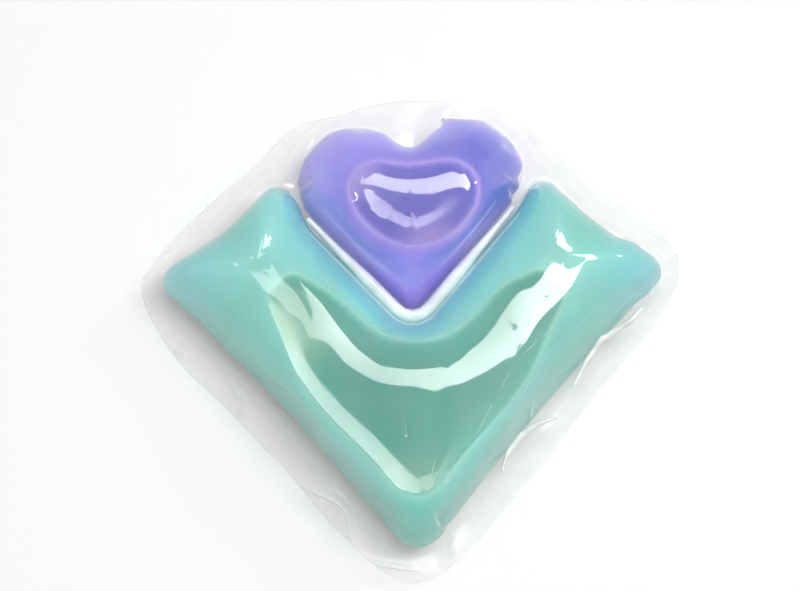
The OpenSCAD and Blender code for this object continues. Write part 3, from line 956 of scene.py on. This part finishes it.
# Its place between the V's rim and the heart's, which are this near to each other along it, in mm
WELD_SHARE = 0.22
SEAM_REACH = 2.2
# The least distance between two points of its line, in mm
WELD_STEP = 0.8
# Tiny drops on the top film, in mm: place in plan and radius
DROPS = (
    (-1.19, -2.0, 0.1), (-0.85, -2.25, 0.07), (-0.68, -10.7, 0.12), (12.1, 1.9, 0.16), (-2.2, -8.1, 0.05),
)
# A drop's height as a share of its width
DROP_HEIGHT = 0.6
# A height above the whole capsule
OVER = 30 * MM


def film_surface():
    """Gives the top film's outer point and normal above a plan point in mm."""
    graph = bpy.context.evaluated_depsgraph_get()
    tree = BVHTree.FromObject(bpy.data.objects["top_film_sheet"], graph)

    def at(x, y):
        place, normal, _, _ = tree.ray_cast(Vector((x * MM, y * MM, OVER)), Vector((0, 0, -1)))
        return place, normal
    return at


def fine_points(line):
    """A line's points in mm, with more of them in between."""
    points = []
    for (ax, ay), (bx, by) in zip(line[:-1], line[1:]):
        steps = max(LEAST_STEPS, round(math.hypot(bx - ax, by - ay) / LINE_STEP))
        points += [(ax + (bx - ax) * i / steps, ay + (by - ay) * i / steps) for i in range(steps)]
    return points + [line[-1]]


def tapered_line(places, thickness, taper):
    """A thin ridge through some places that gets thinner towards its ends."""
    curve = bpy.data.curves.new("crease", "CURVE")
    curve.dimensions = "3D"
    curve.bevel_depth = thickness * MM
    curve.bevel_resolution = 2
    curve.use_fill_caps = True
    spline = curve.splines.new("POLY")
    spline.points.add(len(places) - 1)
    for i, place in enumerate(places):
        spline.points[i].co = (*place, 1)
        spline.points[i].radius = taper(math.sin(math.pi * (i + 0.5) / len(places)))
    piece = bpy.data.objects.new("crease", curve)
    bpy.context.scene.collection.objects.link(piece)
    select_only(piece)
    bpy.ops.object.convert(target="MESH")
    return piece


def crease_line(surface, thickness, line):
    """A thin ridge that follows the film."""
    places = [surface(x, y)[0] for x, y in fine_points(line)]
    end, more = LINE_TAPER
    return tapered_line([p for p in places if p is not None], thickness, lambda share: end + more * share)


def weld_ridge():
    """The weld between the chambers, which stands on the seal; its white is partly painted light."""
    thickness, height, line_end = WELD
    places = [Vector((x * MM, y * MM, height * MM)) for x, y in fine_points(seam_line(line_end))]
    end, more = WELD_TAPER
    weld = tapered_line(places, thickness, lambda share: min(1, end + more * share ** 2))
    co = corners(weld.data)
    below = height * MM - co[:, 2]
    co[:, 2] -= np.maximum(below, 0) * ((height * MM - SEAL_Z) / (thickness * MM) - 1)
    set_corners(weld.data, co)
    return weld


def seam_line(end):
    """Plan points in mm, from left to right, between the two rims."""
    v_points, heart_points = (rim.reshape(-1, 2) / MM for rim in RIMS.values())
    middle = []
    for p in v_points:
        away = np.linalg.norm(heart_points - p, axis=1)
        nearest = heart_points[away.argmin()]
        if away.min() < SEAM_REACH and p[1] < end:
            middle.append(tuple((p + WELD_SHARE * (nearest - p)).round(2)))
    middle = sorted(set(middle))
    line = [middle[0]]
    for point in middle[1:-1]:
        if math.dist(point, line[-1]) > WELD_STEP:
            line.append(point)
    return line + [middle[-1]]


def joined(parts, name, material):
    """Joins parts into one piece on the top film."""
    bpy.ops.object.select_all(action="DESELECT")
    for part in parts:
        part.select_set(True)
    bpy.context.view_layer.objects.active = parts[0]
    bpy.ops.object.join()
    piece = bpy.context.active_object
    piece.name = piece.data.name = name
    bpy.ops.object.shade_smooth()
    piece.data.materials.clear()
    piece.data.materials.append(material)
    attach(piece, BODY)


def drop_on(surface, x, y, radius):
    """A tiny flat drop that lies on the film."""
    place, normal = surface(x, y)
    bpy.ops.object.select_all(action="DESELECT")
    bpy.ops.mesh.primitive_uv_sphere_add(segments=16, ring_count=8, radius=radius * MM, location=place)
    drop = bpy.context.active_object
    drop.scale = (1, 1, DROP_HEIGHT)
    drop.rotation_mode = "QUATERNION"
    drop.rotation_quaternion = normal.to_track_quat("Z", "Y")
    bpy.ops.object.transform_apply(location=True, rotation=True, scale=True)
    return drop


def gathered_material(name, colour, roughness, scale, cover):
    """Gathered film: partly clear, and solid by a share that changes in clouds of this scale."""
    s = Shader(bpy.data.materials.new(name))
    solid = s.add("BsdfPrincipled", {"Base Color": colour, "Roughness": roughness})
    return s.finish(s.blend(s.clouds(scale, cover), s.add("BsdfTransparent"), solid))


def make_marks():
    """Makes the rolled edges with the weld, and the creases with the drops."""
    surface = film_surface()
    # The weld's white is partly painted light, standing in for the seam lit through the clear film
    curls = [crease_line(surface, *curl) for curl in CURLS] + [weld_ridge()]
    joined(curls, "film_curls", gathered_material("film_curl", (0.97, 0.98, 0.98), 0.2, 500, (0.8, 1.0)))
    marks = [crease_line(surface, *crease) for crease in CREASES]
    marks += [drop_on(surface, *drop) for drop in DROPS]
    creased = gathered_material("film_crease", (0.7, 0.93, 0.88), 0.15, 900, (0.15, 0.75))
    joined(marks, "film_creases", creased)


class CAPSULE_OT_creases(bpy.types.Operator):
    """Makes the fine creases and tiny drops on the top film"""

    bl_idname = "capsule.creases"
    bl_label = "Creases and drops"

    def execute(self, context):
        make_marks()
        return {"FINISHED"}


# Where the lamps point
TARGET = (0, 0, 0.005)
# Each lamp's place, size and brightness
LAMPS = {
    "key_lamp": ((0.06, 0.1, 0.45), (0.26, 0.26), 5.9),
    "side_lamp": ((0.21, 0.05, 0.42), (0.16, 0.16), 8.5),
    "fill_lamp": ((-0.2, -0.2, 0.28), (0.3, 0.2), 2.0),
    "spark": ((0.3, 0.16, 0.26), (0.03, 0.03), 40.0),
}
# How bright the world is in reflections, and as a light, beside what the camera sees of it
WORLD_MIRRORED, WORLD_LEVEL = 0.85, 0.34
# The floor's size and its depth below the object, in metres, and its own glow
FLOOR_SIZE, FLOOR_DEPTH, FLOOR_GLOW = 4, 0.02 * MM, 0.185

# The camera's height above the floor and turn around it, in degrees, and its distance in metres
CAMERA_ELEVATION = 78.0
CAMERA_TURN = -1.3
CAMERA_DISTANCE = 0.3
# The object's origin is this far right of and below the picture's middle, in pixels of an 800 wide picture
ORIGIN_RIGHT, ORIGIN_DOWN, PICTURE_WIDTH = 11.0, 49.5, 800

# Outline of the light card above and behind the object, as sideways and backward distance per unit of height
CARD_HEIGHT = 0.38
CARD = (
    (-0.37, 0.37), (-0.19, 0.38), (0.0, 0.4), (0.06, 0.362), (0.12, 0.343), (0.15, 0.322), (0.44, 0.19),
    (0.58, 0.33), (0.4, 0.73), (0.22, 0.6), (0.06, 0.7), (-0.04, 0.7), (-0.14, 0.55), (-0.26, 0.46),
    (-0.39, 0.74),
)
# The card's brightness goes from the first to the second value between these two sides
CARD_SIDES = (-0.37, 0.44)
CARD_GLOW = (3.5, 12.0)


def area_lamp(name):
    """A rectangular softbox of a given brightness that faces the target."""
    place, (size_x, size_y), radiance = LAMPS[name]
    lamp = bpy.data.lights.new(name, "AREA")
    lamp.shape = "RECTANGLE"
    lamp.size, lamp.size_y = size_x, size_y
    lamp.energy = radiance * math.pi * size_x * size_y
    holder = bpy.data.objects.new(name, lamp)
    holder.location = place
    holder.rotation_mode = "QUATERNION"
    holder.rotation_quaternion = (Vector(TARGET) - Vector(place)).to_track_quat("-Z", "Y")
    bpy.context.scene.collection.objects.link(holder)
    return holder


def set_lamps():
    """Sets the lamps. Only the spark shows in reflections, and the fill lights only the liquids."""
    key, side, fill, _ = (area_lamp(name) for name in LAMPS)
    for lamp in (key, side, fill):
        lamp.visible_glossy = False
    lit = bpy.data.collections.new("filled")
    for name in ("teal_gel_body", "violet_gel_body"):
        lit.objects.link(bpy.data.objects[name])
    fill.light_linking.receiver_collection = lit


def light_card():
    """A glowing card that gives the long curved highlights."""
    h = CARD_HEIGHT
    mesh = bpy.data.meshes.new("light_card")
    mesh.from_pydata([(u * h, v * h, h) for u, v in CARD], [], [tuple(reversed(range(len(CARD))))])
    card = bpy.data.objects.new("light_card", mesh)
    bpy.context.scene.collection.objects.link(card)
    s = Shader(bpy.data.materials.new("card_glow"))
    x = s.add("SeparateXYZ", {0: s.place()}, "X")
    level = s.ranged(x, [side * h for side in CARD_SIDES], CARD_GLOW)
    mesh.materials.append(s.finish(s.add("Emission", {"Strength": level})))
    card.visible_camera = False
    card.visible_diffuse = False


def floor_material(colour):
    """Pale paper, with a faint glow for the camera, in reflections and through the film."""
    s = Shader(bpy.data.materials.new("pale_floor"))
    seen = s.maths("ADD", s.light("Camera"), s.maths("ADD", s.light("Glossy"), s.light("Transmission")))
    glow = s.add("Emission", {"Strength": s.maths("MULTIPLY", seen, FLOOR_GLOW)})
    return s.finish(s.add("AddShader", {0: s.add("BsdfDiffuse", {"Color": colour}), 1: glow}))


def studio_world():
    """A white room that the camera sees brighter than it lights the object."""
    s = Shader(bpy.data.worlds.new("studio"), "OutputWorld")
    seen = s.maths("MAXIMUM", s.light("Camera"), s.maths("MULTIPLY", s.light("Glossy"), WORLD_MIRRORED))
    return s.finish(s.add("Background", {"Strength": s.maths("MAXIMUM", seen, WORLD_LEVEL)}))


def photo_camera(focal_length):
    """A camera that sees the object as the photo does."""
    lens = bpy.data.cameras.new("photo_view")
    lens.lens = focal_length
    lens.sensor_width = 36
    lens.shift_x = -ORIGIN_RIGHT / PICTURE_WIDTH
    lens.shift_y = ORIGIN_DOWN / PICTURE_WIDTH
    lens.clip_start, lens.clip_end = 0.01, 20
    camera = bpy.data.objects.new("photo_view", lens)
    turn = Matrix.Rotation(math.radians(CAMERA_TURN), 4, "Z")
    tilt = Matrix.Rotation(math.pi / 2 - math.radians(CAMERA_ELEVATION), 4, "X")
    camera.matrix_world = turn @ tilt @ Matrix.Translation((0, 0, CAMERA_DISTANCE))
    bpy.context.scene.collection.objects.link(camera)
    return camera


class CAPSULE_OT_stage(bpy.types.Operator):
    """Sets the floor, the lamps, the world and the camera"""

    bl_idname = "capsule.stage"
    bl_label = "Stage"

    def execute(self, context):
        settings = context.scene.capsule_stage
        bpy.ops.object.select_all(action="DESELECT")
        bpy.ops.mesh.primitive_plane_add(size=FLOOR_SIZE, location=(0, 0, -FLOOR_DEPTH))
        floor = context.active_object
        floor.name = "floor"
        floor.data.materials.append(floor_material(tuple(settings.floor)))
        light_card()
        set_lamps()
        context.scene.world = studio_world()
        context.scene.camera = photo_camera(settings.lens)
        context.scene.view_settings.view_transform = "Standard"
        return {"FINISHED"}


class CAPSULE_PT_panel(bpy.types.Panel):
    """Lists the capsule's pieces and settings"""

    bl_label = "Laundry capsule"
    bl_idname = "CAPSULE_PT_panel"
    bl_space_type = "VIEW_3D"
    bl_region_type = "UI"
    bl_category = "Capsule"

    def draw(self, context):
        layout = self.layout
        for operator in OPERATORS:
            layout.operator(operator.bl_idname)
        for group in ("capsule_film", "capsule_liquids", "capsule_stage"):
            settings = getattr(context.scene, group)
            box = layout.box()
            for name in settings.bl_rna.properties.keys():
                if name not in ("rna_type", "name"):
                    box.prop(settings, name)


SETTINGS = (FilmSettings, LiquidSettings, StageSettings)
OPERATORS = (
    CAPSULE_OT_teal_liquid,
    CAPSULE_OT_violet_liquid,
    CAPSULE_OT_films,
    CAPSULE_OT_creases,
    CAPSULE_OT_stage,
)


def register():
    for c in (*SETTINGS, *OPERATORS, CAPSULE_PT_panel):
        bpy.utils.register_class(c)
    bpy.types.Scene.capsule_film = PointerProperty(type=FilmSettings)
    bpy.types.Scene.capsule_liquids = PointerProperty(type=LiquidSettings)
    bpy.types.Scene.capsule_stage = PointerProperty(type=StageSettings)


def unregister():
    del bpy.types.Scene.capsule_stage
    del bpy.types.Scene.capsule_liquids
    del bpy.types.Scene.capsule_film
    for c in (CAPSULE_PT_panel, *reversed(OPERATORS), *reversed(SETTINGS)):
        bpy.utils.unregister_class(c)


def main():
    register()
    bpy.ops.capsule.teal_liquid()
    bpy.ops.capsule.violet_liquid()
    bpy.ops.capsule.films()
    bpy.ops.capsule.creases()
    bpy.ops.capsule.stage()


if __name__ == "__main__":
    main()
